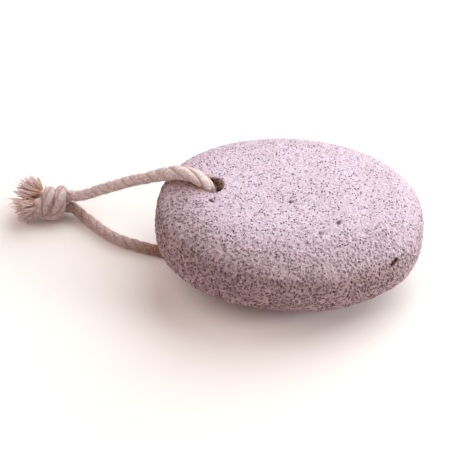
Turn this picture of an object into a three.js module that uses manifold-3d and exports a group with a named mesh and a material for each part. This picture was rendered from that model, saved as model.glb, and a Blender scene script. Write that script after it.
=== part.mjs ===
// A pumice foot stone on a loop of twisted cotton cord.
//
// Millimetres, +Z up. The origin is the middle of the stone's underside: the centre of the
// stone's own bounding box in X and Y, at the level of the surface it lies on. X runs along
// the stone, with its drilled end at -X. The cord comes up out of the hole, goes over the
// stone's drilled end to a knot beside it, and comes back along the surface and under the
// stone into the hole again. Both of its ends stick out of the knot and are frayed.

import * as THREE from 'three';
import { mergeVertices } from 'three/addons/utils/BufferGeometryUtils.js';
import Module from 'manifold-3d';

const wasm = await Module();
wasm.setup();

// ---------------------------------------------------------------- driving dimensions

// The stone: a pebble whose three curves are superellipses (a power of 2 is an ellipse,
// and a larger one is boxier).
const stoneLength = 95;
const stoneWidth = 66.4;
const stoneThickness = 38;
const outlinePower = 2.14; // seen from above
const topPower = 3.4; // the top is a broad face with rounded shoulders
const frontPower = 2.5; // but its shoulder towards the front is worn rounder
const frontWay = [0.35, -0.94]; // the way that shoulder faces, seen from above
const frontRamp = [0.1, 0.75]; // where it starts and is fully round, as a cosine from that way
const bellyPower = 2.4; // the belly is rounder
const stoneSegments = 56; // facets around the stone
const stoneRings = 32; // facets from the top to the belly
const leanDegrees = 3.5; // the drilled end is held up by the cord under it
const wornDepth = 0.3; // the belly is worn flat this deep where the stone rests

// The hole, drilled through the stone's thickness near one end.
const holeDiameter = 6.5;
const holeFromCentre = 27.5; // along the stone
const holeFromAxis = 2.2; // off the stone's long axis
const rimWear = 0.8; // the rims are worn away to a bevel of this width
const holeSides = 24;

// The cord: three strands, laid right-handed.
const cordDiameter = 4;
const cordSides = 8;
const cordSteps = 52;
const fitGap = 0.3; // between the cord and what it touches

// The middle of the cord, from the knot's upper mouth to its lower one.
const cordRoute = [
  [-79.9, 23.5, 8.3],
  [-77.6, 22.6, 9.3],
  [-74.5, 21.4, 11.4],
  [-71.4, 20.1, 14.1],
  [-68.4, 18.9, 16.8],
  [-65.4, 17.6, 19.5],
  [-60.6, 15.7, 23.6],
  [-56.5, 14.0, 27.1],
  [-53.5, 12.8, 29.4],
  [-50.3, 11.4, 31.8],
  [-47.2, 10.2, 34.2],
  [-44.2, 9.0, 36.3],
  [-41.8, 8.0, 37.8],
  [-39.5, 7.0, 39.0],
  [-37.3, 6.1, 39.8],
  [-35.0, 5.2, 40.1],
  [-32.8, 4.3, 39.9], // onto the rim
  [-30.8, 3.5, 39.0],
  [-29.2, 2.9, 37.5],
  [-28.1, 2.5, 35.4],
  [-27.3, 2.3, 32.6], // down the hole
  [-26.8, 2.2, 28.0],
  [-26.8, 2.2, 22.0],
  [-27.1, 2.2, 16.0],
  [-27.4, 2.2, 11.5],
  [-28.0, 2.2, 8.2],
  [-29.2, 2.1, 5.6], // out from under the rim
  [-31.0, 2.0, 3.6],
  [-33.4, 1.9, 2.45],
  [-36.4, 1.8, 2.1], // along the surface
  [-40.4, 1.8, 2.05],
  [-44.5, 1.9, 2.05],
  [-48.2, 2.8, 2.05],
  [-52.8, 4.3, 2.05],
  [-57.4, 5.9, 2.05],
  [-62.0, 7.9, 2.05],
  [-66.3, 10.7, 2.05],
  [-70.7, 14.6, 2.05],
  [-75.0, 18.4, 2.3],
  [-79.7, 22.0, 3.7],
];

// The knot: two wraps of the cord around the cord that goes through them.
const knotCentre = [-85.4, 22.3, 6.1];
const wrapRadius = 3.95; // from the knot's axis to the middle of a wrap
const wrapThickness = 4.1;
const wrapPitch = 4.2; // from wrap to wrap along the knot's axis
const knotCoreRadius = 3.4;
const wrapSides = 8;
const wrapSegments = 20;

// The frayed ends: each opens out from the cord's size to a brush.
const frayLength = 9;
const frayMouthRadius = 1.9;
const frayTipRadius = 3.9;
const frayFlatness = 0.8; // a brush that lies down is lower than it is wide
const fraySides = 14;
const upperFray = { base: [-90.2, 25.2, 7.6], yaw: 153, pitch: 4 };
const lowerFray = { base: [-90.2, 19.9, 3.4], yaw: 205, pitch: 0 };

// ---------------------------------------------------------------- materials

const pumice = new THREE.MeshStandardMaterial({ color: 0xdcc5d2, roughness: 0.95, metalness: 0 });
const cotton = new THREE.MeshStandardMaterial({ color: 0xd9c6bd, roughness: 0.9, metalness: 0 });
const frayedCotton = new THREE.MeshStandardMaterial({ color: 0xdcc8b4, roughness: 0.95, metalness: 0 });

// ---------------------------------------------------------------- solids and meshes

// A closed geometry as a solid that can be joined and cut.
function toSolid(geometry) {
  const bare = geometry.clone();
  bare.deleteAttribute('normal');
  bare.deleteAttribute('uv');
  const merged = mergeVertices(bare);
  return new wasm.Manifold(new wasm.Mesh({
    numProp: 3,
    vertProperties: new Float32Array(merged.attributes.position.array),
    triVerts: new Uint32Array(merged.index.array),
  }));
}

function toGeometry(solid) {
  const mesh = solid.getMesh();
  const geometry = new THREE.BufferGeometry();
  geometry.setAttribute('position', new THREE.BufferAttribute(mesh.vertProperties, 3));
  geometry.setIndex(new THREE.BufferAttribute(mesh.triVerts, 1));
  geometry.computeVertexNormals();
  return geometry;
}

function namedMesh(name, geometry, material) {
  const mesh = new THREE.Mesh(geometry, material);
  mesh.name = name;
  return mesh;
}

// ---------------------------------------------------------------- the stone

// Moves each point of a unit ball onto the pebble. A point keeps its angle around the
// stone, and its angle up from the edge shares out the reach and the rise.
function pebbleGeometry() {
  const geometry = new THREE.SphereGeometry(1, stoneSegments, stoneRings).rotateX(Math.PI / 2);
  const points = geometry.attributes.position;
  for (let i = 0; i < points.count; i += 1) {
    const around = Math.atan2(points.getY(i), points.getX(i));
    const upward = Math.asin(THREE.MathUtils.clamp(points.getZ(i), -1, 1));
    const facing = frontWay[0] * points.getX(i) + frontWay[1] * points.getY(i);
    const front = THREE.MathUtils.smoothstep(facing, ...frontRamp);
    const power = upward > 0 ? topPower + (frontPower - topPower) * front : bellyPower;
    const reach = Math.cos(upward) ** (2 / power);
    const rise = Math.sign(upward) * Math.abs(Math.sin(upward)) ** (2 / power);
    const cosine = Math.cos(around);
    const sine = Math.sin(around);
    const edge = (Math.abs(cosine) ** outlinePower + Math.abs(sine) ** outlinePower) ** (-1 / outlinePower);
    points.setXYZ(
      i,
      (stoneLength / 2) * cosine * edge * reach,
      (stoneWidth / 2) * sine * edge * reach,
      (stoneThickness / 2) * rise,
    );
  }
  return geometry;
}

// How far the surface is above or below the stone's middle plane where the hole comes out.
function riseAtHole(power) {
  const out = (2 * holeFromCentre) / stoneLength;
  return (stoneThickness / 2) * (1 - out ** power) ** (1 / power);
}

// What the drill and the wear take away: a straight shaft that opens as a cone at each rim.
function holeGeometry() {
  const radius = holeDiameter / 2;
  const beyond = 6; // the cones run on this far past the surface
  const top = riseAtHole(topPower);
  const bottom = -riseAtHole(bellyPower);
  const profile = [
    [0, bottom - beyond],
    [radius + rimWear + beyond, bottom - beyond],
    [radius, bottom + rimWear],
    [radius, top - rimWear],
    [radius + rimWear + beyond, top + beyond],
    [0, top + beyond],
  ].map(([r, z]) => new THREE.Vector2(r, z));
  return new THREE.LatheGeometry(profile, holeSides)
    .rotateX(Math.PI / 2)
    .translate(-holeFromCentre, holeFromAxis, 0);
}

// The pebble with its hole, leant over, centred on the origin and worn flat underneath.
function stoneSolid(cordBed) {
  const lean = THREE.MathUtils.degToRad(leanDegrees);
  const pebble = pebbleGeometry().rotateY(lean);
  pebble.computeBoundingBox();
  const box = pebble.boundingBox;
  const shift = [
    -(box.min.x + box.max.x) / 2,
    -(box.min.y + box.max.y) / 2,
    -box.min.z - wornDepth,
  ];
  pebble.translate(...shift);
  const hole = holeGeometry().rotateY(lean).translate(...shift);
  const worn = new THREE.BoxGeometry(stoneLength, stoneWidth, stoneThickness)
    .translate(0, 0, -stoneThickness / 2);
  return toSolid(pebble)
    .subtract(toSolid(hole))
    .subtract(toSolid(cordBed))
    .subtract(toSolid(worn));
}

// ---------------------------------------------------------------- the cord

// A regular section of the given diameter, carried along the cord's route.
function cordGeometry(diameter) {
  const section = new THREE.Shape();
  for (let i = 0; i < cordSides; i += 1) {
    const turn = (2 * Math.PI * i) / cordSides;
    const x = (diameter / 2) * Math.cos(turn);
    const y = (diameter / 2) * Math.sin(turn);
    if (i === 0) section.moveTo(x, y);
    else section.lineTo(x, y);
  }
  section.closePath();
  const points = cordRoute.map((point) => new THREE.Vector3(...point));
  const extrudePath = new THREE.CatmullRomCurve3(points, false, 'centripetal');
  return new THREE.ExtrudeGeometry(section, { steps: cordSteps, bevelEnabled: false, extrudePath });
}

// Two rings of cord side by side on a core, with the knot's axis along X.
function knotSolid() {
  const wrap = (x) => new THREE.TorusGeometry(wrapRadius, wrapThickness / 2, wrapSides, wrapSegments)
    .rotateY(Math.PI / 2)
    .translate(x, 0, 0);
  const core = new THREE.CylinderGeometry(knotCoreRadius, knotCoreRadius, 2 * wrapPitch, wrapSegments)
    .rotateZ(Math.PI / 2);
  return toSolid(wrap(-wrapPitch / 2))
    .add(toSolid(wrap(wrapPitch / 2)))
    .add(toSolid(core))
    .translate(knotCentre);
}

// A brush with its mouth at the origin, opening out along X.
function frayGeometry() {
  const share = [0, 0.25, 0.55, 0.85, 1];
  const opening = [0, 0.35, 0.75, 1, 0.8];
  const outline = share.map((s, i) => new THREE.Vector2(
    frayMouthRadius + (frayTipRadius - frayMouthRadius) * opening[i],
    s * frayLength,
  ));
  const profile = [new THREE.Vector2(0, 0), ...outline, new THREE.Vector2(0, frayLength)];
  return new THREE.LatheGeometry(profile, fraySides)
    .rotateZ(-Math.PI / 2)
    .scale(1, 1, frayFlatness);
}

function frayMesh(name, { base, yaw, pitch }) {
  const mesh = namedMesh(name, frayGeometry(), frayedCotton);
  mesh.rotation.order = 'ZYX';
  mesh.rotation.set(0, THREE.MathUtils.degToRad(-pitch), THREE.MathUtils.degToRad(yaw));
  mesh.position.set(...base);
  return mesh;
}

// ---------------------------------------------------------------- the object

const group = new THREE.Group();
const cordBed = cordGeometry(cordDiameter + 2 * fitGap);
group.add(namedMesh('pumice_stone', toGeometry(stoneSolid(cordBed)), pumice));

const cord = new THREE.Group();
cord.add(namedMesh('rope_loop', cordGeometry(cordDiameter), cotton));
cord.add(namedMesh('rope_knot', toGeometry(knotSolid()), cotton));
cord.add(frayMesh('upper_frayed_end', upperFray));
cord.add(frayMesh('lower_frayed_end', lowerFray));
group.add(cord);

export default group;
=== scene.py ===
import bpy
import numpy as np
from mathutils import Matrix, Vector


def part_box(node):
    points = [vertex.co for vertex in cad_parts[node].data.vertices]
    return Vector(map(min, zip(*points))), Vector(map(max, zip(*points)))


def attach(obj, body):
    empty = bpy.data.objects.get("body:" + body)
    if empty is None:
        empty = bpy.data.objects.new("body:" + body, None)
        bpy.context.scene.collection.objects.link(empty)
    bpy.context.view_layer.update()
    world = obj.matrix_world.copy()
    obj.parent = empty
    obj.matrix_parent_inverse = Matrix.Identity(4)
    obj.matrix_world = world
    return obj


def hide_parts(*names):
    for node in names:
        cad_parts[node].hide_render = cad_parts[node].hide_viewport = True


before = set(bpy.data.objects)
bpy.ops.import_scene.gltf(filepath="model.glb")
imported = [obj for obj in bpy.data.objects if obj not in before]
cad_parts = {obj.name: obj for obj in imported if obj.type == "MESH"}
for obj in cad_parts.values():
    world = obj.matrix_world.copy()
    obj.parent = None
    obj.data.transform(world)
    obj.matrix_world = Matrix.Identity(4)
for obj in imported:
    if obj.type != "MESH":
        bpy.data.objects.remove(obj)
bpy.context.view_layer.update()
mm = 0.001
nearFloor = 0.01 * mm  # the cord and its fibres come no lower than this
bpy.context.scene.view_settings.view_transform = "Standard"


# Noise and curves

# Large odd numbers for the hash: one for each axis, one for the salt and one for stirring.
axisFactors = (73856093, 19349663, 83492791)
saltFactor = 668265263
stirFactor = 73244475
lowBits = 0xFFFFFFFF


# An integer hash: each cell of a lattice gets its own number from 0 to 1. The cell's counts and
# the salt, each times its factor, are combined bit by bit and then stirred three times.
def hashUnit(cells, salt):
    x, y, z = (cells[..., k] * axisFactors[k] for k in range(3))
    n = (x ^ y ^ z ^ (salt * saltFactor)) & lowBits
    for shift in (16, 15, 16):
        n = ((n ^ (n >> shift)) * stirFactor) & lowBits
    return (n >> 8) / float(1 << 24)


# Smooth noise from -1 to 1: the hash at a lattice's corners, blended by 3t2 - 2t3 along each axis.
def softNoise(points, size, salt):
    scaled = np.asarray(points) / size
    base = np.floor(scaled).astype(np.int64)
    part = scaled - base
    part = part * part * (3 - 2 * part)
    total = np.zeros(scaled.shape[:-1])
    for corner in np.ndindex(2, 2, 2):
        step = np.array(corner)
        weight = np.prod(np.where(step, part, 1 - part), axis=-1)
        total += weight * hashUnit(base + step, salt)
    return 2 * total - 1


# A ramp that is 0 up to low, 1 from high, and 3t2 - 2t3 between.
def smoothStep(low, high, value):
    t = np.clip((value - low) / (high - low), 0, 1)
    return t * t * (3 - 2 * t)


# Vectors divided by their own lengths.
def unit(vectors):
    return vectors / np.maximum(np.linalg.norm(vectors, axis=-1, keepdims=True), 1e-12)


# The direction at an angle from +X towards +Y and another angle up, in degrees.
def direction(yaw, pitch):
    yaw, pitch = np.radians(yaw), np.radians(pitch)
    flat = np.cos(pitch)
    return np.stack([np.cos(yaw) * flat, np.sin(yaw) * flat, np.sin(pitch)], axis=-1)


# A smooth line through points, in equal steps: Catmull-Rom spans with their knots spaced by the
# square root of each chord, sampled finely and then read off at equal lengths.
def smoothLine(points, step, samples=40):
    p = np.asarray(points, float)
    p = np.vstack([2 * p[0] - p[1], p, 2 * p[-1] - p[-2]])
    knots = np.concatenate([[0], np.cumsum(np.linalg.norm(np.diff(p, axis=0), axis=1) ** 0.5)])
    fine = []
    for i in range(1, len(p) - 2):
        t = np.linspace(knots[i], knots[i + 1], samples, endpoint=False)[:, None]
        k0, k1, k2, k3 = knots[i - 1:i + 3]
        a1 = ((k1 - t) * p[i - 1] + (t - k0) * p[i]) / (k1 - k0)
        a2 = ((k2 - t) * p[i] + (t - k1) * p[i + 1]) / (k2 - k1)
        a3 = ((k3 - t) * p[i + 1] + (t - k2) * p[i + 2]) / (k3 - k2)
        b1 = ((k2 - t) * a1 + (t - k0) * a2) / (k2 - k0)
        b2 = ((k3 - t) * a2 + (t - k1) * a3) / (k3 - k1)
        fine.append(((k2 - t) * b1 + (t - k1) * b2) / (k2 - k1))
    fine = np.vstack(fine + [p[-2:-1]])
    run = np.concatenate([[0], np.cumsum(np.linalg.norm(np.diff(fine, axis=0), axis=1))])
    even = np.linspace(0, run[-1], round(run[-1] / step) + 1)
    return np.stack([np.interp(even, run, fine[:, k]) for k in range(3)], axis=1), even


# Axes that don't twist along a line: each side axis is the one before, less its part along the
# line.
def steadyAxes(line):
    along = unit(np.gradient(line, axis=0))
    side = np.empty_like(along)
    side[0] = unit(np.cross(along[0], (0, 0, 1)))
    for i in range(1, len(line)):
        side[i] = unit(side[i - 1] - along[i] * np.dot(side[i - 1], along[i]))
    return side, np.cross(along, side)


# Meshes

# A smooth mesh from an array of points and arrays of faces, each array with its own count of
# corners to a face.
def newObject(name, points, *faceSets):
    mesh = bpy.data.meshes.new(name)
    sizes = np.concatenate([np.full(len(f), f.shape[1]) for f in faceSets])
    corners = np.concatenate([f.ravel() for f in faceSets])
    mesh.vertices.add(len(points))
    mesh.vertices.foreach_set("co", points.astype(np.float32).ravel())
    mesh.loops.add(len(corners))
    mesh.loops.foreach_set("vertex_index", corners.astype(np.int32))
    mesh.polygons.add(len(sizes))
    mesh.polygons.foreach_set("loop_start", (np.cumsum(sizes) - sizes).astype(np.int32))
    mesh.polygons.foreach_set("use_smooth", np.ones(len(sizes), bool))
    mesh.update(calc_edges=True)
    mesh.validate()
    piece = bpy.data.objects.new(name, mesh)
    bpy.context.scene.collection.objects.link(piece)
    return piece


# Stores a number or a vector at each point of a piece, for its material to read.
def addLayer(piece, name, values):
    vector = np.ndim(values) == 2
    kind, field = ("FLOAT_VECTOR", "vector") if vector else ("FLOAT", "value")
    layer = piece.data.attributes.new(name, kind, "POINT")
    layer.data.foreach_set(field, np.asarray(values, np.float32).ravel())


# Quads and end caps of tubes, whose points are counted tube by tube, ring by ring, side by side.
def tubeFaces(tubes, rings, sides):
    index = np.arange(tubes * rings * sides).reshape(tubes, rings, sides)
    after = np.roll(index, -1, axis=2)
    quads = np.stack([index[:, :-1], after[:, :-1], after[:, 1:], index[:, 1:]], axis=-1)
    return quads.reshape(-1, 4), np.vstack([index[:, 0, ::-1], index[:, -1]])


# Camera

cameraSetup = dict(
    target=(-22.65 * mm, 3.9 * mm, 15 * mm),
    azimuth=0.15,  # degrees from -Y towards +X
    elevation=50,
    distance=0.5,
    lens=111.7,
    nearest=0.01,
)


# The camera stands back from its target along a direction, and looks along it.
def makeCamera():
    back = Vector(direction(cameraSetup["azimuth"] - 90, cameraSetup["elevation"]))
    data = bpy.data.cameras.new("camera")
    data.lens = cameraSetup["lens"]
    data.clip_start = cameraSetup["nearest"]
    camera = bpy.data.objects.new("camera", data)
    bpy.context.scene.collection.objects.link(camera)
    camera.location = Vector(cameraSetup["target"]) + back * cameraSetup["distance"]
    camera.rotation_euler = back.to_track_quat("Z", "Y").to_euler()
    bpy.context.scene.camera = camera


makeCamera()
print("camera placed")


# Materials' shared steps

# A screen colour, from 0 to 255, as the linear colour that a shader takes.
def linear(red, green, blue):
    c = np.array([red, green, blue]) / 255
    return tuple(np.where(c < 0.04045, c / 12.92, ((c + 0.055) / 1.055) ** 2.4)) + (1.0,)


# Sets a node's inputs, or links them where the value is another node's socket.
def feed(tree, node, inputs):
    for key, value in inputs.items():
        if isinstance(value, bpy.types.NodeSocket):
            tree.links.new(value, node.inputs[key])
        else:
            node.inputs[key].default_value = value
    return node


# A node of one kind, with its settings made and its inputs fed.
def addNode(tree, kind, inputs, **settings):
    made = tree.nodes.new(kind)
    for key, value in settings.items():
        setattr(made, key, value)
    return feed(tree, made, inputs)


# Two values put together by an operation, by multiplying, or by taking the larger.
def mathNode(tree, operation, first, second):
    return addNode(tree, "ShaderNodeMath", {0: first, 1: second}, operation=operation).outputs[0]


def timesNode(tree, first, second):
    return mathNode(tree, "MULTIPLY", first, second)


def largerNode(tree, first, second):
    return mathNode(tree, "MAXIMUM", first, second)


# A value that lies from low to high, spread out or squeezed to lie from start to end.
def rangeNode(tree, value, low, high, start=0.0, end=1.0):
    inputs = {"Value": value, "From Min": low, "From Max": high, "To Min": start, "To Max": end}
    kind = "ShaderNodeMapRange"
    return addNode(tree, kind, inputs, interpolation_type="SMOOTHSTEP").outputs[0]


# The first colour blended with a share of the second.
def mixNode(tree, share, first, second, blend="MIX"):
    made = addNode(tree, "ShaderNodeMix", {}, data_type="RGBA", blend_type=blend)
    return feed(tree, made, {0: share, 6: first, 7: second}).outputs[2]


# Cloudy noise from 0 to 1, its broadest clouds about the size across.
def noiseNode(tree, place, size, detail, roughness=0.5):
    inputs = {"Vector": place, "Scale": 1 / size, "Detail": detail, "Roughness": roughness}
    return addNode(tree, "ShaderNodeTexNoise", inputs).outputs["Fac"]


# A layer that addLayer stored.
def layerNode(tree, name, output="Fac"):
    return addNode(tree, "ShaderNodeAttribute", {}, attribute_name=name).outputs[output]


# The normal of a surface with a height drawn on it.
def bumpNode(tree, look, height):
    inputs = {"Height": height, "Distance": look["bump"], "Strength": look["bumpStrength"]}
    return addNode(tree, "ShaderNodeBump", inputs).outputs["Normal"]


# A material whose even values are set on the shader itself.
def startMaterial(name, roughness, specular, sheen=0.0):
    material = bpy.data.materials.new(name)
    material.use_nodes = True
    shader = material.node_tree.nodes["Principled BSDF"]
    shader.inputs["Roughness"].default_value = roughness
    shader.inputs["Specular IOR Level"].default_value = specular
    shader.inputs["Sheen Weight"].default_value = sheen
    return material, material.node_tree, shader


# The cord: one length of three-strand cotton, through the stone and tied to itself

cord = dict(
    diameter=4 * mm,
    lay=12.5 * mm,  # one turn of the strands
    openLay=22 * mm,  # where the knot, or the bend at the stone's hole, pulls them out
    strandWide=1.42 * mm,  # half of a strand's width, around the cord
    strandDeep=1.12 * mm,
    strandOut=0.95 * mm,  # from the cord's middle to a strand's
    knotFatter=0.06,
    bendFatter=0.22,
    yarns=7,  # ridges around a strand
    yarnRidge=0.06 * mm,
    yarnTurn=1.02 / mm,  # how fast the yarns turn back against the lay, in radians
    sides=24,
    step=0.27 * mm,
    swell=0.05,  # of the strands' thickness, in and out along them
    wander=0.05 * mm,
    wanderOver=4 * mm,
    turnWander=0.12,  # radians that the strands turn too far or too little
    turnOver=9 * mm,
    noiseApart=50 * mm,  # from strand to strand, so that no two wander alike
    streakOver=14 * mm,  # streaks are drawn out as this is to a strand's radius
    streakApart=3.7,
    knotRamp=(-3 * mm, 1 * mm),  # from inside the knot to outside, where its pull dies away
    bendRamp=(5 * mm, 17 * mm),  # how far from the bend its pull dies away
    mouthDepth=1.2 * mm,  # the loop runs on this far into the knot
    bend=(-37.3 * mm, 6.1 * mm, 39.8 * mm),  # where it turns towards the hole
    # painted shade: how much darker and browner it is at shares of the loop's length, from the upper
    # run to the lower one, rising down the hole and most where the lower run lies in the stone's
    # shadow, and beyond the end, over the knot's wraps, as at the end; below zero how much paler and
    # creamier it is, by the bend into the hole
    paintedShades=[
        (0.3, 0), (0.36, -0.4), (0.41, -1), (0.46, -0.2), (0.6, 0.8), (0.7, 2),
        (0.76, 1.9), (0.79, 1.4), (0.84, 0.7), (0.92, 0.7), (0.97, 1.4), (1.03, 0.5),
    ],
    stiffness="limp",
)

# The middle of the cord from the knot's upper mouth, through the stone, to the lower mouth.
loopRoute = np.array([
    (-79.9, 23.5, 8.3), (-77.6, 22.6, 9.3), (-74.5, 21.4, 11.4), (-71.4, 20.1, 14.1),
    (-68.4, 18.9, 16.8), (-65.4, 17.6, 19.5), (-60.6, 15.7, 23.6), (-56.5, 14.0, 27.1),
    (-53.5, 12.8, 29.4), (-50.3, 11.4, 31.8), (-47.2, 10.2, 34.2), (-44.2, 9.0, 36.3),
    (-41.8, 8.0, 38.1), (-39.5, 7.0, 39.4), (-37.3, 6.1, 40.2), (-35.0, 5.2, 40.5),
    (-32.8, 4.3, 40.3), (-30.8, 3.5, 39.3), (-29.2, 2.9, 37.6), (-28.1, 2.5, 35.4),
    (-27.3, 2.3, 32.6), (-26.8, 2.2, 28.0), (-26.8, 2.2, 22.0), (-27.1, 2.2, 16.0),
    (-27.4, 2.2, 11.5), (-28.0, 2.2, 8.2), (-29.2, 2.1, 5.6), (-31.0, 2.0, 3.6),
    (-33.4, 1.9, 2.45), (-36.4, 1.8, 2.1), (-40.4, 1.8, 2.05), (-44.5, 1.9, 2.05),
    (-48.2, 2.8, 2.05), (-52.8, 4.3, 2.05), (-57.4, 5.9, 2.05), (-62.0, 7.9, 2.05),
    (-66.3, 10.7, 2.05), (-70.7, 14.6, 2.05), (-75.0, 18.4, 2.3), (-79.7, 22.0, 3.7),
]) * mm

# The knot, around an axis along X. The upper run goes straight through it, from its frayed end
# to the loop. The lower run wraps it twice, and its end crosses the wraps and leaves in front.
# A point is how far along the axis, how far out from it, and degrees from the top to the front.
knotThrough = [(-5.4, 3.3, -72), (-4.3, 2.6, -66), (-2.4, 1.1, -42), (0, 0.7, -20), (2.6, 1.2, -25)]
knotWraps = [
    (3.9, 2.9, 182), (2.2, 2.5, 192), (0.2, 2.4, 206), (-1.4, 3.0, 232), (-2.1, 3.6, 262),
    (-2.2, 3.75, 300), (-2.1, 3.8, 345), (-2.2, 3.8, 390), (-2.5, 3.75, 430), (-2.7, 3.6, 468),
    (-2.2, 3.6, 505), (-0.8, 3.8, 545), (0.8, 4.0, 590), (1.7, 4.1, 635), (2.0, 4.2, 675),
    (2.1, 4.2, 715), (2.0, 4.3, 755), (1.4, 4.4, 793), (0.3, 4.6, 825), (-1.6, 4.7, 842),
    (-3.4, 4.4, 843), (-4.7, 3.9, 830), (-5.6, 3.4, 806), (-6.0, 3.0, 775), (-6.6, 2.5, 752),
]


# A point of the knot is its centre, plus x along the axis and r out at an angle from the top.
def knotPoints(polar, centre):
    x, out, angle = np.array(polar, float).T
    angle = np.radians(angle)
    return centre + np.stack([x, -out * np.sin(angle), out * np.cos(angle)], axis=1) * mm


# Three strands about a line. Strand k's middle is out * (cos a, sin a) from the line, where a is
# a turn for each lay, right-handed, and a third of a turn for each strand. Its section is an
# ellipse with a small ridge for each yarn, cos(yarns * (section angle + yarn turn)). With the
# points go their places in the streaks' noise, and how far each faces the cord's middle.
def strandSurfaces(line, run, side, up, inKnot, inBend):
    pulled = np.maximum(inKnot, inBend)
    fat = 1 + cord["knotFatter"] * inKnot + cord["bendFatter"] * inBend
    section = np.linspace(0, 2 * np.pi, cord["sides"], endpoint=False)
    yarnAngle = section[None] + cord["yarnTurn"] * run[:, None]
    ridge = cord["yarnRidge"] * np.cos(cord["yarns"] * yarnAngle)
    step = 1 / cord["lay"] + (1 / cord["openLay"] - 1 / cord["lay"]) * pulled
    turns = np.cumsum(step) * cord["step"]
    points, fibres = [], []
    for k in range(3):
        apart = np.full_like(run, cord["noiseApart"] * k)
        place = np.stack([run, apart, np.zeros_like(run)], axis=1)
        turn = 2 * np.pi * (turns + k / 3)
        turn += cord["turnWander"] * softNoise(place, cord["turnOver"], salt=12)
        outward = side * np.cos(turn)[:, None] + up * np.sin(turn)[:, None]
        around = up * np.cos(turn)[:, None] - side * np.sin(turn)[:, None]
        out = cord["strandOut"] * fat
        out += cord["wander"] * softNoise(place, cord["wanderOver"], salt=13)
        middle = line + outward * out[:, None]
        swell = (fat + cord["swell"] * softNoise(place, cord["wanderOver"], salt=11))[:, None]
        deep = (cord["strandDeep"] * swell + ridge) * np.cos(section)
        wide = (cord["strandWide"] * swell + ridge) * np.sin(section)
        offset = outward[:, None] * deep[..., None] + around[:, None] * wide[..., None]
        points.append(middle[:, None] + offset)
        length = run[:, None] / cord["streakOver"] + cord["streakApart"] * k
        length = np.broadcast_to(length, yarnAngle.shape)
        fibres.append(np.stack([np.cos(yarnAngle), np.sin(yarnAngle), length], axis=-1))
    points = np.array(points)
    points[..., 2] = np.maximum(points[..., 2], nearFloor)
    # how far each point faces the cord's middle, for the painted shade in the grooves
    hollow = np.broadcast_to((1 - np.cos(section)) / 2, (3, len(run), cord["sides"]))
    return points, np.array(fibres), hollow


# One piece of the three strands' rings, from the first to the last of each span.
def cordPiece(name, surfaces, spans):
    kept, quads, caps, count = [], [], [], 0
    for first, last in spans:
        rings = last - first + 1
        spanQuads, spanCaps = tubeFaces(3, rings, cord["sides"])
        quads.append(spanQuads + count)
        caps.append(spanCaps + count)
        count += 3 * rings * cord["sides"]
        kept.append([s[:, first:last + 1].reshape(-1, *s.shape[3:]) for s in surfaces])
    points, fibres, hollow, paintedShade = (np.concatenate([k[i] for k in kept]) for i in range(4))
    piece = newObject(name, points, np.vstack(quads), np.vstack(caps))
    addLayer(piece, "fibre", fibres)
    addLayer(piece, "hollow", hollow)
    addLayer(piece, "paintedShade", paintedShade)
    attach(piece, "root")
    return piece


# The whole cord follows one line: through the knot, along the loop and round the knot. The loop
# and the knot are the parts of it on either side of the knot's two mouths.
def makeCord():
    low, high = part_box("rope_knot")
    centre = (np.array(low) + np.array(high)) / 2
    route = [knotPoints(knotThrough, centre), loopRoute, knotPoints(knotWraps, centre)]
    line, run = smoothLine(np.vstack(route), cord["step"])
    mouths = [int(np.linalg.norm(line - loopRoute[k], axis=1).argmin()) for k in (0, -1)]
    fromKnot = np.minimum(run - run[mouths[0]], run[mouths[1]] - run)
    fromBend = np.linalg.norm(line - cord["bend"], axis=1)
    inKnot = 1 - smoothStep(*cord["knotRamp"], fromKnot)
    inBend = 1 - smoothStep(*cord["bendRamp"], fromBend)
    surfaces = strandSurfaces(line, run, *steadyAxes(line), inKnot, inBend)
    share = (run - run[mouths[0]]) / (run[mouths[1]] - run[mouths[0]])
    # painted shade along the cord, and below zero how much paler and creamier it is
    paintedShade = np.interp(share, *np.array(cord["paintedShades"]).T)
    surfaces += (np.broadcast_to(paintedShade[:, None], surfaces[2].shape),)
    inward = round(cord["mouthDepth"] / cord["step"])
    first, last = mouths[0] - inward, mouths[1] + inward
    loop = cordPiece("cordLoop", surfaces, [(first, last)])
    knot = cordPiece("cordKnot", surfaces, [(0, first), (last, len(line) - 1)])
    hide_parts("rope_loop")
    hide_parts("rope_knot")
    return loop, knot, line[first:last + 1]


cordLoop, cordKnot, loopLine = makeCord()
print("cord laid:", len(cordLoop.data.polygons), "and", len(cordKnot.data.polygons), "faces")


# The frayed ends: each strand's yarns open into locks of crimped fibres

fray = dict(
    yarns=36,
    locks=3,  # in each yarn
    fibres=19,  # in each lock
    goldenTurn=2.39996,  # radians round the end from yarn to yarn
    firstTurn=6,  # and the most that the first is turned
    yarnSpread=(9, 6),  # degrees either way, to the side and up
    lockSpread=12,  # degrees too, but normally spread
    fibreSpread=0.8,
    gather=0.85,  # how much a lock narrows by its tip
    rings=11,
    sides=3,
    mouth=1.3 * mm,  # where the yarns leave the cord, from its middle
    yarnRadius=0.3 * mm,
    length=10.1 * mm,
    longestYaw=170,  # the locks that leave another way are shorter
    shorter=(0.45, 65),  # by this share where they leave this many degrees from it
    shortest=0.3,
    lockLengths=(0.72, 1.1),
    fibreLengths=(0.8, 1.02),
    strays=(0.02, 1.25),  # the share of fibres that are longer than that, and how many times
    thick=0.075 * mm,  # a fibre's radius at its root
    thin=0.8,  # of that, at its tip
    crimp=0.13 * mm,
    crimpOver=2.3 * mm,
    crimpRamp=(0, 0.35),  # the shares of its length that it grows between
    crimpSizes=(0.4, 1.3),
    crimpPhases=1.8,  # radians that the fibres of a lock are out of step
    drift=0.8 * mm,  # how far a lock wanders by its tip
    driftOver=4.5 * mm,
    driftPower=1.5,
    lockApart=40 * mm,  # in the noise that they drift by
    fibreApart=0.3 * mm,
    floorGap=0.08 * mm,
    floorLayer=0.5 * mm,  # how thick the fibres lie on the floor
    start=1.5 * mm,  # the fibres start this far inside the knot
)
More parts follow.
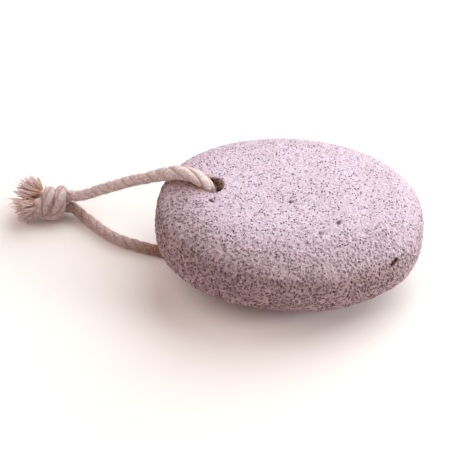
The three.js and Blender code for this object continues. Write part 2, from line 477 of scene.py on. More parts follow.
# The yaws run from the front of the end to its back, and the pitches from its bottom to its top.
frayedEnds = [
    dict(
        name="upperFray", node="upper_frayed_end", mouth=(-90.2, 25.1, 7.3), leaves=(165, 8),
        yaw=(200, 110), pitch=(-22, 24), seed=5,
    ),
    dict(
        name="lowerFray", node="lower_frayed_end", mouth=(-92.0, 20.2, 6.9), leaves=(175, 10),
        yaw=(255, 160), pitch=(-48, 20), seed=8,
    ),
]


# Tubes round many short lines at once. A tube's ring is its line's point plus the radius times
# (cos, sin) about two axes square to the line.
def thinTubes(lines, radius, sides):
    along = unit(np.gradient(lines, axis=1))
    steep = np.abs(along[..., 2:]) > 0.8
    helper = np.where(steep, (1.0, 0, 0), (0, 0, 1.0))
    side = unit(np.cross(along, helper))
    up = np.cross(along, side)
    angle = np.linspace(0, 2 * np.pi, sides, endpoint=False)[:, None]
    ring = side[:, :, None] * np.cos(angle) + up[:, :, None] * np.sin(angle)
    points = lines[:, :, None] + ring * radius[:, :, None, None]
    return points.reshape(-1, 3), tubeFaces(len(lines), lines.shape[1], sides)


# A fibre starts along the cord and bends to its own direction: after a share t of its length it
# has gone (t - w) along the first and w along the second, with w = t - (1 - (1 - t)^4) / 4.
# Its crimp is a helix that grows over the first third.
def makeFray(end):
    draw = np.random.default_rng(end["seed"])
    yarns, rings = fray["yarns"], fray["rings"]
    locks = (yarns, fray["locks"], 1)
    shape = (yarns, fray["locks"], fray["fibres"])
    cordWay = direction(*end["leaves"])
    across = unit(np.cross(cordWay, (0, 0, 1)))
    rise = np.cross(across, cordWay)

    # where a yarn leaves the cord decides where it points
    out = np.sqrt((np.arange(yarns) + 0.5) / yarns)
    spin = np.arange(yarns) * fray["goldenTurn"] + draw.uniform(0, fray["firstTurn"])
    yarnAcross, yarnRise = out * np.cos(spin), out * np.sin(spin)
    yawOff, pitchOff = fray["yarnSpread"]
    yaw = np.interp(yarnAcross, (-1, 1), end["yaw"]) + draw.uniform(-yawOff, yawOff, yarns)
    pitch = np.interp(yarnRise, (-1, 1), end["pitch"]) + draw.uniform(-pitchOff, pitchOff, yarns)
    lockYaw = yaw[:, None, None] + draw.normal(0, fray["lockSpread"], locks)
    lockPitch = pitch[:, None, None] + draw.normal(0, fray["lockSpread"], locks)
    fibreYaw = lockYaw + draw.normal(0, fray["fibreSpread"], shape)
    fibrePitch = lockPitch + draw.normal(0, fray["fibreSpread"], shape)
    ownWay = direction(fibreYaw, fibrePitch)

    spread = np.sqrt(draw.uniform(0, 1, shape)) * fray["yarnRadius"]
    turn = draw.uniform(0, 2 * np.pi, shape)
    start = np.array(end["mouth"]) * mm - cordWay * fray["start"]
    start = start + fray["mouth"] * (yarnAcross[:, None] * across + yarnRise[:, None] * rise)
    aside = (spread * np.cos(turn))[..., None] * across + (spread * np.sin(turn))[..., None] * rise

    less, over = fray["shorter"]
    share = 1 - less * ((lockYaw - fray["longestYaw"]) / over) ** 2
    share = np.maximum(share, fray["shortest"])
    lockLength = fray["length"] * share * draw.uniform(*fray["lockLengths"], locks)
    length = lockLength * draw.uniform(*fray["fibreLengths"], shape) + fray["start"]
    strayShare, longer = fray["strays"]
    length = np.where(draw.uniform(0, 1, shape) < strayShare, length * longer, length)
    t = np.linspace(0, 1, rings)
    w = t - (1 - (1 - t) ** 4) / 4
    ways = cordWay * (t - w)[:, None] + ownWay[..., None, :] * w[:, None]
    lines = start[:, None, None, None] + length[..., None, None] * ways
    lines += aside[..., None, :] * (1 - fray["gather"] * t)[:, None]

    # locks drift together, and fibres crimp around their own lines
    run = length[..., None] * t
    lock = np.arange(yarns * fray["locks"]).reshape(locks)[..., None] * fray["lockApart"]
    lock = lock + fray["fibreApart"] * turn[..., None]
    place = np.stack([run, np.broadcast_to(lock, run.shape), np.zeros_like(run)], axis=-1)
    drift = fray["drift"] * t ** fray["driftPower"]
    for axis in range(3):
        lines[..., axis] += drift * softNoise(place, fray["driftOver"], salt=31 + axis)
    phase = 2 * np.pi * run / fray["crimpOver"] + spin[:, None, None, None]
    phase = phase + draw.uniform(0, fray["crimpPhases"], shape)[..., None]
    crimp = fray["crimp"] * smoothStep(*fray["crimpRamp"], t)
    crimp = crimp * draw.uniform(*fray["crimpSizes"], shape)[..., None]
    lines += (crimp * np.cos(phase))[..., None] * across
    lines += (crimp * np.sin(phase))[..., None] * rise

    # what would go through the floor lies along it
    lowest = fray["floorGap"] + draw.uniform(0, fray["floorLayer"], shape)[..., None]
    lines[..., 2] = np.maximum(lines[..., 2], lowest)

    lines = lines.reshape(-1, rings, 3)
    radius = np.broadcast_to(fray["thick"] * (1 - (1 - fray["thin"]) * t), lines.shape[:2])
    points, faces = thinTubes(lines, radius, fray["sides"])
    points[:, 2] = np.maximum(points[:, 2], nearFloor)
    piece = newObject(end["name"], points, *faces)
    tip = np.broadcast_to(t[None, :, None], (len(lines), rings, fray["sides"]))
    # half of a fibre's shade is its own, and half its lock's
    shade = draw.uniform(0, 0.5, shape) + draw.uniform(0, 0.5, locks)
    addLayer(piece, "tip", tip.ravel())
    addLayer(piece, "shade", np.repeat(shade.ravel(), rings * fray["sides"]))
    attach(piece, "root")
    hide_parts(end["node"])
    return piece


frays = [makeFray(end) for end in frayedEnds]
print("ends frayed:", [len(piece.data.polygons) for piece in frays])


# Loose fibres that stand off the cord

fuzz = dict(
    count=4200,
    rings=5,
    sides=3,
    length=(0.5 * mm, 1.9 * mm),
    thick=0.034 * mm,  # a fibre's radius at its root
    thin=0.5,  # of that, at its tip
    rooted=0.05 * mm,  # how deep in the cord they start
    lean=1.1,  # how far they point away from straight out
    bend=0.35,
    floorGap=0.06 * mm,
    seed=21,
)


# The places, or the normals, of a piece's points.
def meshPoints(piece, field):
    values = np.empty(len(piece.data.vertices) * 3)
    piece.data.vertices.foreach_get(field, values)
    return values.reshape(-1, 3)


# Each fibre starts at a point of the cord and curls: a share s of its length goes s along its
# own direction, and bends over by s squared.
def makeFuzz(hosts):
    draw = np.random.default_rng(fuzz["seed"])
    roots = np.vstack([meshPoints(host, "co") for host in hosts])
    normals = np.vstack([meshPoints(host, "normal") for host in hosts])
    pick = draw.choice(len(roots), fuzz["count"], replace=False)
    root, normal = roots[pick], normals[pick]
    way = unit(normal + fuzz["lean"] * draw.normal(0, 1, root.shape))
    bend = fuzz["bend"] * draw.normal(0, 1, root.shape)
    s = np.linspace(0, 1, fuzz["rings"])
    length = draw.uniform(*fuzz["length"], fuzz["count"])[:, None, None]
    curl = way[:, None] * s[:, None] + bend[:, None] * s[:, None] ** 2
    lines = root[:, None] - fuzz["rooted"] * normal[:, None] + length * curl
    lines[..., 2] = np.maximum(lines[..., 2], fuzz["floorGap"])
    radius = np.broadcast_to(fuzz["thick"] * (1 - (1 - fuzz["thin"]) * s), lines.shape[:2])
    points, faces = thinTubes(lines, radius, fuzz["sides"])
    piece = newObject("cordFuzz", points, *faces)
    shade = draw.uniform(0, 1, fuzz["count"])
    addLayer(piece, "tip", np.ones(len(points)))
    addLayer(piece, "shade", np.repeat(shade, fuzz["rings"] * fuzz["sides"]))
    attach(piece, "root")
    return piece


cordFuzz = makeFuzz([cordLoop, cordKnot])


# The stone: a pebble with a drilled hole, and gas pores all over

stone = dict(
    length=95 * mm,
    width=66.4 * mm,
    thickness=38 * mm,
    outlinePower=2.14,  # 2 is an ellipse, and more is boxier
    topPower=3.4,
    frontPower=2.5,  # the shoulder towards the front is worn rounder
    frontWay=(0.35, -0.94),  # the way it faces
    frontRamp=(0.1, 0.75),  # where it starts and is fully round, as a cosine from that way
    bellyPower=2.4,
    lean=3.5,  # degrees, the drilled end up
    wornDepth=0.3 * mm,
    hole=(-27.5 * mm, 2.2 * mm),
    holeRadius=3.25 * mm,
    topWear=0.8 * mm,  # how far the rims are rounded over
    bellyWear=1.2 * mm,
    cells=(180, 126, 74),
    holeCells=14,
    wallRows=64,
    rimRows=5,
    relaxRounds=60,
    bed=2.42 * mm,  # the stone stays this far from the cord's middle
    cordShadow=5.5 * mm,  # and has the cord's painted shadow on it as far as this
    edgeRamp=(0.45, 0.85),  # of the way out, where the rawer edge starts and is complete
    rawEdge=0.38,
    rawWay=(-0.35, -0.94),  # the rawest side
    rawRamp=(-0.35, 0.5),  # from the worn side to it, as a cosine from that way
    wornEnd=0.6,  # how much less raw the opposite side is
    wornTop=(0.3, 0.985),  # the rise of a normal where the worn top starts and is complete
    poreDepth=(0.75, 0.35),  # the share of the pores' depth that is left, and more where raw
    wornRough=0.7,  # the share of the roughness that is left on the worn top
    # roughness from broad to fine: how high, and how far across
    rough=[
        (0.25 * mm, 14 * mm), (0.125 * mm, 6.364 * mm), (0.13 * mm, 1.4 * mm),
        (0.12 * mm, 0.8 * mm),
    ],
    darkPore=0.6 * mm,  # a pore this deep is painted quite dark, as shade
    darkest=1.4,  # and a big pit may be this many times as dark
    boreRamp=(1, 9),  # rows of the hole's wall from its rim to where it is all bore
    edgeStart=0.625,  # turns round the hole to the corner that its edges start from
)
# Gas pores by size: cells they are strewn in, radii, share of the cells that have one, depth.
poreSizes = [
    dict(cell=9.0 * mm, radius=(0.6 * mm, 1.0 * mm), share=0.25, depth=0.7, salt=41),
    dict(cell=2.4 * mm, radius=(0.34 * mm, 0.62 * mm), share=0.7, depth=0.85, salt=42),
    dict(cell=1.15 * mm, radius=(0.26 * mm, 0.42 * mm), share=0.9, depth=0.8, salt=43),
]


# The few big pits: where each starts and ends and its radius, in millimetres, and how dark the
# painted shade in it is.
bigPits = [
    ((15.8, -12.9, 36.6), (16.0, -12.8, 36.6), 0.85, 0.9),
    ((-0.5, -5.0, 38.1), (0.0, -5.2, 38.1), 0.6, 1.6),
    ((-27.6, -4.8, 38.6), (-26.9, -5.1, 38.6), 0.55, 2.0),
    ((35.9, -20.2, 25.5), (34.5, -22.0, 24.8), 0.75, 2.5),
]


# How far out a point is in the pebble's outline, from 0 in the middle to 1 at the edge.
def outlineReach(x, y):
    n = stone["outlinePower"]
    a, b = stone["length"] / 2, stone["width"] / 2
    return ((np.abs(x) / a) ** n + (np.abs(y) / b) ** n) ** (1 / n)


# How many times a point must shrink to lie on the pebble: (r^q + |z / c|^q)^(1/q), where r is
# its reach in the outline. The power q is one above the middle and another below, and a third
# towards the front.
def pebbleScale(p):
    share = p / (np.array([stone["length"], stone["width"], stone["thickness"]]) / 2)
    facing = share[..., :2] @ np.array(stone["frontWay"]) / np.linalg.norm(share, axis=-1)
    front = smoothStep(*stone["frontRamp"], facing)
    top = stone["topPower"] + (stone["frontPower"] - stone["topPower"]) * front
    q = np.where(p[..., 2] > 0, top, stone["bellyPower"])
    return (outlineReach(p[..., 0], p[..., 1]) ** q + np.abs(share[..., 2]) ** q) ** (1 / q)


# How far the pebble rises or falls from its middle plane: c * (1 - r^q)^(1/q).
def pebbleRise(x, y, power):
    return stone["thickness"] / 2 * (1 - outlineReach(x, y) ** power) ** (1 / power)


# The six sides of a box of cells as quads of lattice codes, less a square of cells at the hole.
# Also the edges of the two squares, which go round the hole from a corner.
def boxCells():
    counts = np.array(stone["cells"])
    size = np.array([stone["length"], stone["width"], stone["thickness"]])
    stride = np.array([(counts[1] + 1) * (counts[2] + 1), counts[2] + 1, 1])
    hole = np.array(stone["hole"])
    k = stone["holeCells"]
    step = np.arange(k)
    quads, edges = [], []
    for axis in range(3):
        u, v = (axis + 1) % 3, (axis + 2) % 3
        for top in (0, 1):
            i, j = np.meshgrid(np.arange(counts[u]), np.arange(counts[v]), indexing="ij")
            keep = np.ones(i.shape, bool)
            if axis == 2:
                rise = pebbleRise(*hole, stone["topPower"] if top else stone["bellyPower"])
                share = hole * size[2] / 2 / rise / size[:2] + 0.5
                i0, j0 = np.round(share * counts[:2] - k / 2).astype(int)
                keep = (i < i0) | (i >= i0 + k) | (j < j0) | (j >= j0 + k)
                edgeI = np.concatenate([i0 + step, np.full(k, i0 + k), i0 + k - step, np.full(k, i0)])
                edgeJ = np.concatenate([np.full(k, j0), j0 + step, np.full(k, j0 + k), j0 + k - step])
                edges.append(edgeI * stride[0] + edgeJ * stride[1] + top * counts[2])
            i, j = i[keep], j[keep]
            code = top * counts[axis] * stride[axis] + i * stride[u] + j * stride[v]
            corners = (code, code + stride[u], code + stride[u] + stride[v], code + stride[v])
            quads.append(np.stack(corners if top else corners[::-1], axis=1))
    codes, quads = np.unique(np.vstack(quads), return_inverse=True)
    place = np.stack([codes // stride[0], codes % stride[0] // stride[1], codes % stride[1]], axis=1)
    box = (place / counts - 0.5) * size
    bellyEdge, topEdge = (np.searchsorted(codes, edge) for edge in edges)
    return box, quads.reshape(-1, 4), topEdge, bellyEdge


# Moves each point to the middle of its neighbours and back onto the pebble, again and again,
# with the hole's edges held.
def relax(points, quads, held):
    edges = np.vstack([quads[:, [k, (k + 1) % 4]] for k in range(4)])
    count = np.bincount(edges[:, 0], minlength=len(points)).astype(float)
    fixed = points[held].copy()
    for _ in range(stone["relaxRounds"]):
        near = [np.bincount(edges[:, 0], points[edges[:, 1], k], len(points)) for k in range(3)]
        points = np.stack(near, axis=1) / count[:, None]
        points /= pebbleScale(points)[:, None]
        points[held] = fixed
    return points


# The hole's wall between its two edges: quarter circles over the rims and a straight shaft.
def holeWall(angle, zTop, zBelly):
    topWear, bellyWear = stone["topWear"], stone["bellyWear"]
    curve = np.linspace(0, np.pi / 2, stone["rimRows"] + 1)[1:, None]
    shaft = np.linspace(0, 1, stone["wallRows"] + 2)[1:-1, None]
    z = np.vstack([
        zTop - topWear * (1 - np.cos(curve)),
        (zTop - topWear) * (1 - shaft) + (zBelly + bellyWear) * shaft,
        zBelly + bellyWear * (1 - np.cos(curve[::-1])),
    ])
    out = stone["holeRadius"] + np.vstack([
        topWear * (1 - np.sin(curve)),
        0 * shaft,
        bellyWear * (1 - np.sin(curve[::-1])),
    ])
    x, y = stone["hole"]
    return np.stack([x + out * np.cos(angle), y + out * np.sin(angle), z], axis=-1)


# Each point's normal: the sum of its quads' own, each the cross product of the diagonals.
def pointNormals(points, quads):
    a, b, c, d = (points[quads[:, k]] for k in range(4))
    cross = np.cross(c - a, d - b)
    total = [np.bincount(quads.ravel(), np.repeat(cross[:, k], 4), len(points)) for k in range(3)]
    return unit(np.stack(total, axis=1))


# Round gas bubbles that the surface cuts through: a point inside a bubble of radius r, at a
# distance d from its middle, sinks by the square root of r^2 - d^2. The radii lie between two
# ends by the power 1.5 of an even draw, so that most are small.
def bubbles(points, size):
    base = np.floor(points / size["cell"]).astype(np.int64)
    low, high = size["radius"]
    salt = size["salt"] * 10
    sunk = np.zeros(len(points))
    for corner in np.ndindex(3, 3, 3):
        cell = base + np.array(corner) - 1
        jitter = np.stack([hashUnit(cell, salt + k) for k in range(3)], axis=1)
        radius = low + (high - low) * hashUnit(cell, salt + 3) ** 1.5
        inside = radius ** 2 - ((points - (cell + jitter) * size["cell"]) ** 2).sum(axis=1)
        inside[hashUnit(cell, salt + 4) > size["share"]] = 0
        sunk = np.maximum(sunk, np.sqrt(np.maximum(inside, 0)))
    return sunk


# The same for the big pits, with d the distance from the line between a pit's two ends, and how
# dark the painted shade in them makes each point.
def pits(points):
    sunk, dark = np.zeros((2, len(points)))
    for start, end, radius, shade in bigPits:
        start, way = np.array(start) * mm, (np.array(end) - start) * mm
        share = np.clip((points - start) @ way / (way @ way), 0, 1)
        inside = (radius * mm) ** 2 - ((points - start - share[:, None] * way) ** 2).sum(axis=1)
        depth = np.sqrt(np.maximum(inside, 0))
        sunk = np.maximum(sunk, depth)
        dark = np.maximum(dark, depth * shade)
    return sunk, dark


# The points that may be within reach of the cord's middle, the nearest point of it to each, and
# the way and the distance from there.
def nearCord(points, line, reach):
    near = np.all((points > line.min(axis=0) - reach) & (points < line.max(axis=0) + reach), axis=1)
    near = np.flatnonzero(near)
    close = points[near]
    square = (line ** 2).sum(axis=1) - 2 * close @ line.T
    nearest = line[square.argmin(axis=1)]
    away = close - nearest
    return near, nearest, away, np.linalg.norm(away, axis=1)


# Pushes the points that are too near the cord's middle straight away from it.
def clearOfCord(points, line):
    reach = stone["bed"]
    near, nearest, away, distance = nearCord(points, line, reach)
    move = distance < reach
    points[near[move]] = nearest[move] + away[move] * (reach / distance[move])[:, None]
    return points


# The box's points drawn onto the pebble and spread evenly, with the hole's wall between its two
# edges. Then each point moves along its normal by the roughness less the depth of its pores.
def makeStone():
    points, quads, topEdge, bellyEdge = boxCells()
    points = points / pebbleScale(points)[:, None]
    angle = 2 * np.pi * (np.arange(len(topEdge)) / len(topEdge) + stone["edgeStart"])
    heights = []
    for edge, wear, power, sign in (
        (topEdge, stone["topWear"], stone["topPower"], 1),
        (bellyEdge, stone["bellyWear"], stone["bellyPower"], -1),
    ):
        out = stone["holeRadius"] + wear
        x = stone["hole"][0] + out * np.cos(angle)
        y = stone["hole"][1] + out * np.sin(angle)
        heights.append(sign * pebbleRise(x, y, power))
        points[edge] = np.stack([x, y, heights[-1]], axis=1)
    points = relax(points, quads, np.concatenate([topEdge, bellyEdge]))

    wall = holeWall(angle, *heights)
    index = np.arange(wall.shape[0] * wall.shape[1]).reshape(wall.shape[:2]) + len(points)
    rows = np.vstack([topEdge, index, bellyEdge])
    after = np.roll(rows, -1, axis=1)
    wallQuads = np.stack([rows[:-1], after[:-1], after[1:], rows[1:]], axis=-1).reshape(-1, 4)
    row = np.arange(len(wall))
    # the rows' share of the bore's colour, browner and with painted light
    bore = smoothStep(*stone["boreRamp"], np.minimum(row, len(wall) - 1 - row))
    bore = np.concatenate([np.zeros(len(points)), np.repeat(bore, wall.shape[1])])
    points = np.vstack([points, wall.reshape(-1, 3)])
    quads = np.vstack([quads, wallQuads])

    # leant over, centred, and lowered to the level it is worn to
    lean = np.radians(stone["lean"])
    x = points[:, 0] * np.cos(lean) + points[:, 2] * np.sin(lean)
    z = points[:, 2] * np.cos(lean) - points[:, 0] * np.sin(lean)
    x -= (x.min() + x.max()) / 2
    z -= z.min() + stone["wornDepth"]
    points = np.stack([x, points[:, 1], z], axis=1)

    height = np.zeros(len(points))
    for k, (size, over) in enumerate(stone["rough"]):
        height += size * softNoise(points, over, salt=51 + k)

    # how raw it is: least on the worn top, though not near the edge, and less at the far end and
    # the back than on the rest
    normals = pointNormals(points, quads)
    outer = smoothStep(*stone["edgeRamp"], outlineReach(points[:, 0], points[:, 1]))
    raw = 1 - smoothStep(*stone["wornTop"], normals[:, 2])
    raw = np.maximum(raw, stone["rawEdge"] * outer)
    facing = unit(points[:, :2]) @ np.array(stone["rawWay"])
    raw *= 1 - stone["wornEnd"] * (1 - smoothStep(*stone["rawRamp"], facing))

    sunk = np.zeros(len(points))
    for pores in poreSizes:
        sunk = np.maximum(sunk, pores["depth"] * bubbles(points, pores))
    left, more = stone["poreDepth"]
    sunk *= left + more * raw
    deep, dark = pits(points)
    dark = np.where(deep > 0, dark, sunk)
    sunk = np.maximum(sunk, deep)
    points = points + normals * (height * (stone["wornRough"] + raw) - sunk)[:, None]
    points = clearOfCord(points, loopLine)
    points[:, 2] = np.maximum(points[:, 2], 0)
    # the cord's painted shadow on the stone, fading out from where the stone beds it to its reach
    near, _, _, distance = nearCord(points, loopLine, stone["cordShadow"])
    cordShadow = np.zeros(len(points))
    cordShadow[near] = 1 - smoothStep(stone["bed"], stone["cordShadow"], distance)

    piece = newObject("pumiceStone", points, quads)
    # the painted shade in the pores and big pits, darker the deeper they are
    addLayer(piece, "pore", np.clip(dark / stone["darkPore"], 0, stone["darkest"]))
    addLayer(piece, "raw", raw)
    addLayer(piece, "bore", bore)
    addLayer(piece, "cordShadow", cordShadow)
    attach(piece, "root")
    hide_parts("pumice_stone")
    return piece


pumiceStone = makeStone()
print("stone shaped:", len(pumiceStone.data.polygons), "quads")


# Finishes

pumiceLook = dict(
    pale=linear(238, 217, 231),
    dull=linear(210, 187, 200),
    # the painted shade in the pores
    pore=linear(96, 52, 54),
    flank=(0.91, 0.77, 0.705, 1.0),  # painted shade: the worn top's colours times this, darker and warmer, are the flanks'
    # the hole's wall: browner, and brightened with painted light in the hole
    bore=linear(246, 206, 190),
    # the cord's painted shadow, warm brown
    cordShadow=linear(184, 138, 114),
    cordShadowShare=0.85,
    stretch=(1.0, 1.0, 0.62),  # the fine pores are long and upright on the flanks
    coarsePore=(0.9 * mm, 0.85, 0.42),  # cell, share of the cells with a pore, largest radius
    finePore=(0.55 * mm, 0.9, 0.42),
    flankPore=(1.2 * mm, 0.97, 0.4),
    smallest=0.12,  # the smallest radius, which like the largest is a share of a cell
    poreRim=(0.55, 1.0),  # the shares of its radius that a pore fades out between
    coarseShade=0.78,  # how dark the painted shade in the pores is
    fineShade=0.36,
    shapedShade=0.7,
    coarseDepth=0.8,  # and how deep they look
    fineDepth=0.45,
    foam=1.25 * mm,  # from pore to pore on the flanks
    # where a crowded pore's painted shade fades, its wall rises and the painted highlight on its
    # crest comes in: how far from its middle, as shares of foam
    foamFade=(0.12, 0.4),
    foamWall=(0.08, 0.6),
    foamCrest=(0.35, 0.65),
    foamShade=0.47,
    foamRise=2.1,
    # painted highlight on the ridges between the crowded pores
    crestHighlight=linear(252, 226, 238),
    crestHighlightShare=0.7,
    crowding=(0.0, 0.85),  # how raw it is where the pores start to crowd and are crowded
    crestDimming=(0.4, 0.95),  # and where the crests' painted highlight starts to dim and is dimmest
    crestDimmest=0.25,
    grain=0.9 * mm,
    grainRange=(0.3, 0.6),  # of the noise, from dull to pale
    grainRamp=(0.0, 0.8),  # how raw it is where the grain is smoothest and roughest
    grainRise=(0.5, 1.5),
    patch=16 * mm,
    patchRange=(0.35, 0.7),
    patchShare=0.3,
    bump=1.4 * mm,
    bumpStrength=0.9,
    roughness=0.95,
    specular=0.12,
)


# Pores too small to shape: a cell's pore is 1 in its middle, out to a radius of its own, and
# fades out; the pumice paints shade and depth into them.
def drawnPores(tree, place, cell, share, largest):
    cells = addNode(tree, "ShaderNodeTexVoronoi", {"Vector": place, "Scale": 1 / cell}, feature="F1")
    split = addNode(tree, "ShaderNodeSeparateColor", {"Color": cells.outputs["Color"]})
    own = split.outputs["Red"]
    radius = rangeNode(tree, own, 1 - share, 1.0, pumiceLook["smallest"], largest)
    ratio = mathNode(tree, "DIVIDE", cells.outputs["Distance"], radius)
    inside = rangeNode(tree, ratio, *pumiceLook["poreRim"], 1.0, 0.0)
    return timesNode(tree, inside, mathNode(tree, "GREATER_THAN", own, 1 - share))


# Pumice: dull to pale by its grain, duller in patches, with a painted highlight on the crests,
# painted shade on the flanks, the cord's painted shadow and the bore's browner colour with painted
# light over that, and each point as dark as the painted shade of its darkest pore. Its height is
# the grain and the crowded pores' walls, less the depth of the pores.
def makePumiceMaterial():
    look = pumiceLook
    material, tree, shader = startMaterial("rosePumice", look["roughness"], look["specular"])
    place = addNode(tree, "ShaderNodeTexCoord", {}).outputs["Object"]
    stretched = addNode(
        tree, "ShaderNodeVectorMath", {0: place, 1: look["stretch"]}, operation="MULTIPLY").outputs[0]
    grain = noiseNode(tree, place, look["grain"], 4.0, 0.7)
    patch = noiseNode(tree, place, look["patch"], 3.0)
    raw = layerNode(tree, "raw")
    colour = mixNode(tree, rangeNode(tree, grain, *look["grainRange"]), look["dull"], look["pale"])
    duller = rangeNode(tree, patch, *look["patchRange"], 0.0, look["patchShare"])
    colour = mixNode(tree, duller, colour, look["dull"])

    # where it is raw the pores crowd until only their walls are left between them
    foam = addNode(
        tree, "ShaderNodeTexVoronoi", {"Vector": place, "Scale": 1 / look["foam"]}, feature="F1")
    away = foam.outputs["Distance"]
    crowded = rangeNode(tree, raw, *look["crowding"])
    # painted highlight on the walls' crests, dimmest where rawest
    crestHighlight = rangeNode(tree, away, *look["foamCrest"], 0.0, look["crestHighlightShare"])
    dimmed = rangeNode(tree, raw, *look["crestDimming"], 1.0, look["crestDimmest"])
    crestHighlight = timesNode(tree, timesNode(tree, crestHighlight, crowded), dimmed)
    colour = mixNode(tree, crestHighlight, colour, look["crestHighlight"])
    # painted shade on the flanks: darker and warmer as they are raw
    colour = mixNode(tree, raw, colour, look["flank"], "MULTIPLY")
    # the cord's painted shadow on the stone
    cordShadow = timesNode(tree, layerNode(tree, "cordShadow"), look["cordShadowShare"])
    colour = mixNode(tree, cordShadow, colour, look["cordShadow"])
    # the bore's browner colour, brightened with painted light in the hole
    colour = mixNode(tree, layerNode(tree, "bore"), colour, look["bore"])

    flank = timesNode(tree, drawnPores(tree, stretched, *look["flankPore"]), raw)
    coarse = largerNode(tree, drawnPores(tree, stretched, *look["coarsePore"]), flank)
    fine = drawnPores(tree, stretched, *look["finePore"])
    # painted shade in the pores: each point as dark as its darkest pore, the crowded ones' too
    between = rangeNode(tree, away, *look["foamFade"], look["foamShade"], 0.0)
    dark = timesNode(tree, coarse, look["coarseShade"])
    dark = largerNode(tree, dark, timesNode(tree, fine, look["fineShade"]))
    dark = largerNode(tree, dark, timesNode(tree, layerNode(tree, "pore"), look["shapedShade"]))
    dark = largerNode(tree, dark, timesNode(tree, between, crowded))

    walls = timesNode(tree, rangeNode(tree, away, *look["foamWall"], 0.0, look["foamRise"]), crowded)
    coarser = rangeNode(tree, raw, *look["grainRamp"], *look["grainRise"])
    height = mathNode(tree, "ADD", timesNode(tree, grain, coarser), walls)
    deep = timesNode(tree, coarse, look["coarseDepth"])
    deep = mathNode(tree, "ADD", deep, timesNode(tree, fine, look["fineDepth"]))
    height = mathNode(tree, "SUBTRACT", height, deep)
    feed(tree, shader, {
        "Base Color": mixNode(tree, dark, colour, look["pore"]),
        "Normal": bumpNode(tree, look, height),
    })
    return material


cottonLook = dict(
    pale=linear(255, 238, 236),
    dull=linear(196, 164, 160),
    # painted shade in the grooves between the strands
    grooveShade=linear(190, 152, 138),
    # painted shade: the darker brown of the cord where it lies in shade
    paintedShade=linear(150, 106, 80),
    # the paler, creamier colour by the bend
    paleCream=linear(255, 240, 222),
    streak=1 / 6,  # how wide a streak is, as a share of a strand's radius
    streakRange=(0.36, 0.6),  # of the noise, from dull to pale
    fleck=0.9 * mm,
    fleckRange=(0.42, 0.62),
    fleckShare=0.6,
    grooveRange=(0.3, 0.55),  # how far a point faces the cord's middle
    grooveShadeShare=0.75,
    paintedShadeShare=0.5,
    paleCreamShare=-0.4,  # of the painted shade below zero, which is how much paler and creamier it is
    detail=(4.0, 0.65),
    bump=0.3 * mm,
    bumpStrength=0.9,
    roughness=0.92,
    specular=0.15,
    sheen=0.25,
)


# Twisted cotton: streaks that run with the yarns, darker between the yarns, with painted shade
# in the grooves between the strands, painted shade along the loop and paler cream by the bend.
def makeCordMaterial():
    look = cottonLook
    material, tree, shader = startMaterial(
        "twistedCotton", look["roughness"], look["specular"], look["sheen"])
    place = addNode(tree, "ShaderNodeTexCoord", {}).outputs["Object"]
    streak = noiseNode(tree, layerNode(tree, "fibre", "Vector"), look["streak"], *look["detail"])
    fleck = noiseNode(tree, place, look["fleck"], *look["detail"])
    hollow = layerNode(tree, "hollow")
    paintedShade = layerNode(tree, "paintedShade")
    colour = mixNode(tree, rangeNode(tree, streak, *look["streakRange"]), look["dull"], look["pale"])
    flecked = rangeNode(tree, fleck, *look["fleckRange"], 0.0, look["fleckShare"])
    colour = mixNode(tree, flecked, colour, look["dull"])
    # painted shade in the grooves between the strands
    grooveShaded = rangeNode(tree, hollow, *look["grooveRange"], 0.0, look["grooveShadeShare"])
    colour = mixNode(tree, grooveShaded, colour, look["grooveShade"])
    # paler and creamier where the painted shade is below zero, and darker and browner with painted
    # shade where it is above
    colour = mixNode(tree, timesNode(tree, paintedShade, look["paleCreamShare"]), colour, look["paleCream"])
    colour = mixNode(tree, timesNode(tree, paintedShade, look["paintedShadeShare"]), colour, look["paintedShade"])
    height = mathNode(tree, "ADD", streak, fleck)
    feed(tree, shader, {"Base Color": colour, "Normal": bumpNode(tree, look, height)})
    return material


frayLook = dict(
    tip=linear(255, 232, 232),
    # painted shade at the roots, yellower and darker where the fibres crowd
    root=linear(214, 164, 108),
    rootRange=(0.2, 0.8),  # how far along a fibre the root's painted shade starts to fade and is gone
    rootShadeShare=0.85,
    dull=linear(240, 208, 192),
    fleck=0.5 * mm,
    fleckRange=(0.3, 0.6),
    fleckLeast=0.3,  # how dull a fibre stays between flecks, as a share
    roughness=0.9,
    specular=0.15,
    sheen=0.2,
)


# Loose cotton: painted shade at the root, yellower and darker, and each fibre a tone of its own.
def makeFrayMaterial():
    look = frayLook
    material, tree, shader = startMaterial(
        "looseCotton", look["roughness"], look["specular"], look["sheen"])
    place = addNode(tree, "ShaderNodeTexCoord", {}).outputs["Object"]
    fleck = noiseNode(tree, place, look["fleck"], 2.0)
    flecked = rangeNode(tree, fleck, *look["fleckRange"], look["fleckLeast"], 1.0)
    duller = timesNode(tree, layerNode(tree, "shade"), flecked)
    colour = mixNode(tree, duller, look["tip"], look["dull"])
    # painted shade towards the root
    rootShadeShare = rangeNode(tree, layerNode(tree, "tip"), *look["rootRange"], look["rootShadeShare"], 0.0)
    feed(tree, shader, {"Base Color": mixNode(tree, rootShadeShare, colour, look["root"])})
    return material


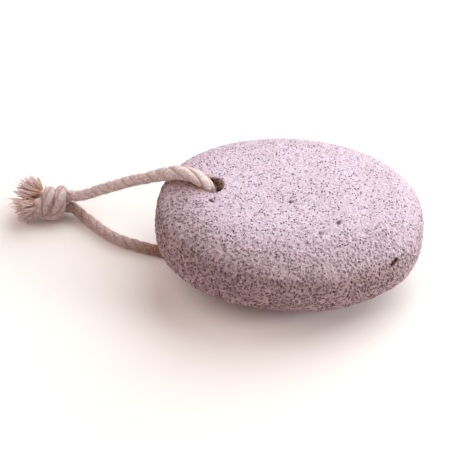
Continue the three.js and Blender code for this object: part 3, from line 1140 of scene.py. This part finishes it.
finishes = [
    (makePumiceMaterial(), [pumiceStone]),
    (makeCordMaterial(), [cordLoop, cordKnot]),
    (makeFrayMaterial(), [*frays, cordFuzz]),
]
for material, pieces in finishes:
    for piece in pieces:
        piece.data.materials.append(material)
print("materials set")


# Floor and light

studio = dict(
    floorSize=6.0,
    floorColour=linear(255, 248, 243),
    floorFinish=(0.9, 0.1),  # roughness and specular
    # Each light: the side it comes from, from +X towards +Y, and its height, in degrees, how far
    # and how wide it is, its power and its colour.
    key=(52, 43, 1.2, 1.6, 20.3, (0.87, 0.97, 1.0)),
    fill=(186, 56, 1.1, 1.0, 5.1, (1.0, 0.89, 0.87)),
    side=(-10, 22, 1.0, 0.4, 5.2, (0.95, 0.98, 1.0)),
    skyColour=(1.0, 0.8, 0.76, 1.0),
    skyStrength=0.19,
)


# A round soft light that faces the origin from a distance along a direction.
def makeLight(name, yaw, pitch, distance, size, power, colour):
    data = bpy.data.lights.new(name, "AREA")
    data.shape = "DISK"
    data.size = size
    data.energy = power
    data.color = colour
    light = bpy.data.objects.new(name, data)
    light.visible_camera = False
    bpy.context.scene.collection.objects.link(light)
    way = Vector(direction(yaw, pitch))
    light.location = way * distance
    light.rotation_euler = way.to_track_quat("Z", "Y").to_euler()


# A flat square floor at z = 0, three lights and an even sky.
def makeStudio():
    half = studio["floorSize"] / 2
    corners = np.array([(-half, -half, 0), (half, -half, 0), (half, half, 0), (-half, half, 0)])
    floor = newObject("studioFloor", corners, np.array([[0, 1, 2, 3]]))
    material, tree, shader = startMaterial("paleFloor", *studio["floorFinish"])
    shader.inputs["Base Color"].default_value = studio["floorColour"]
    floor.data.materials.append(material)

    makeLight("keyLight", *studio["key"])
    makeLight("fillLight", *studio["fill"])
    makeLight("sideLight", *studio["side"])
    world = bpy.data.worlds.new("studioSky")
    world.use_nodes = True
    sky = world.node_tree.nodes["Background"]
    sky.inputs["Color"].default_value = studio["skyColour"]
    sky.inputs["Strength"].default_value = studio["skyStrength"]
    bpy.context.scene.world = world


makeStudio()
print("studio lit")
